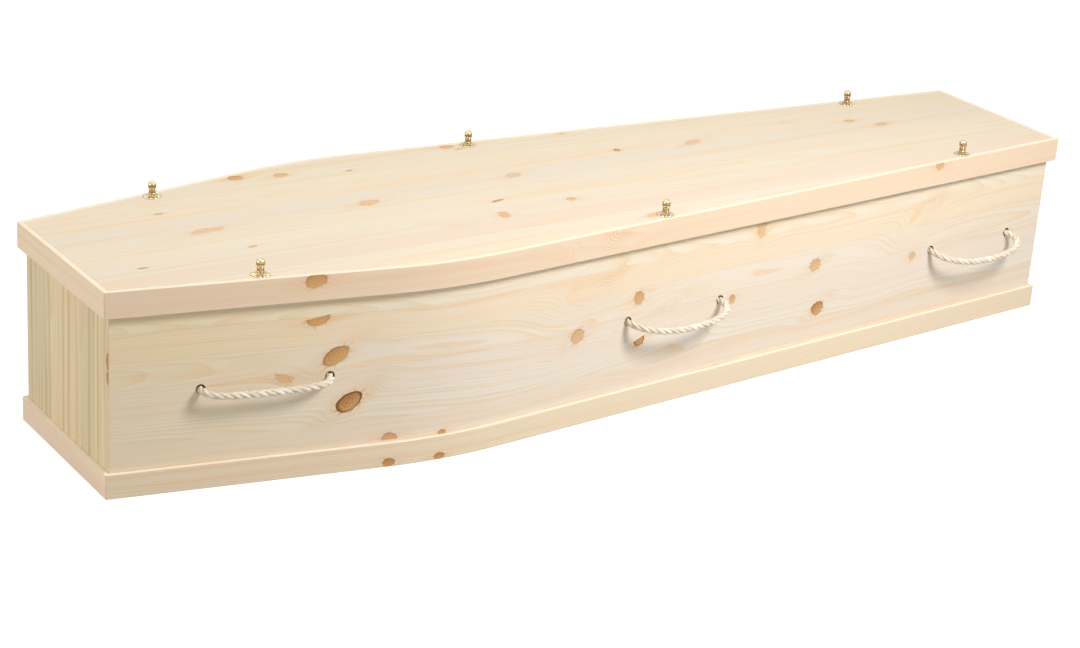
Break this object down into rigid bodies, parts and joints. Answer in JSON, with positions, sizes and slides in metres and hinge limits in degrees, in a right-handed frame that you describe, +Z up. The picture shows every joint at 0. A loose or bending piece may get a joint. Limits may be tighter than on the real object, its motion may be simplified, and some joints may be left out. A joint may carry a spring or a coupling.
{
  "type": "wooden coffin",
  "caption": "Shouldered coffin of planed knotty pine with a flat lift-off lid, edging strips round the lid and base, brass lid screws and rope handles.",
  "frame": {"origin": "on the floor, under the middle of the coffin's length and width", "axes": "+X from the head end to the foot end, +Y to the left side, +Z up"},
  "size_m": [2, 0.5694, 0.378],
  "materials": {
    "lid_pine": "planed, unvarnished",
    "side_pine": "planed, unvarnished",
    "end_pine": "planed, unvarnished",
    "long_strip_pine": "planed, unvarnished",
    "end_strip_pine": "planed, unvarnished",
    "inner_pine": "planed, unvarnished",
    "brass": "polished",
    "rope": "twisted natural fibre"
  },
  "bodies": {
    "root": {"base_board": "inner_pine", "left_side": "side_pine", "right_side": "side_pine", "head_board": "end_pine", "foot_board": "end_pine", "lid_board": "lid_pine", "lid_strip_left": "long_strip_pine", "lid_strip_right": "long_strip_pine", "lid_strip_head": "end_strip_pine", "lid_strip_foot": "end_strip_pine", "base_strip_left": "long_strip_pine", "base_strip_right": "long_strip_pine", "base_strip_head": "end_strip_pine", "base_strip_foot": "end_strip_pine", "left_head_screw": "brass", "left_middle_screw": "brass", "left_foot_screw": "brass", "right_head_screw": "brass", "right_middle_screw": "brass", "right_foot_screw": "brass", "left_head_rose": "brass", "left_middle_rose": "brass", "left_foot_rose": "brass", "right_head_rose": "brass", "right_middle_rose": "brass", "right_foot_rose": "brass", "left_head_rope": "rope", "left_middle_rope": "rope", "left_foot_rope": "rope", "right_head_rope": "rope", "right_middle_rope": "rope", "right_foot_rope": "rope", "left_head_knot_a": "rope", "left_head_knot_b": "rope", "left_middle_knot_a": "rope", "left_middle_knot_b": "rope", "left_foot_knot_a": "rope", "left_foot_knot_b": "rope", "right_head_knot_a": "rope", "right_head_knot_b": "rope", "right_middle_knot_a": "rope", "right_middle_knot_b": "rope", "right_foot_knot_a": "rope", "right_foot_knot_b": "rope"}
  },
  "joints": []
}
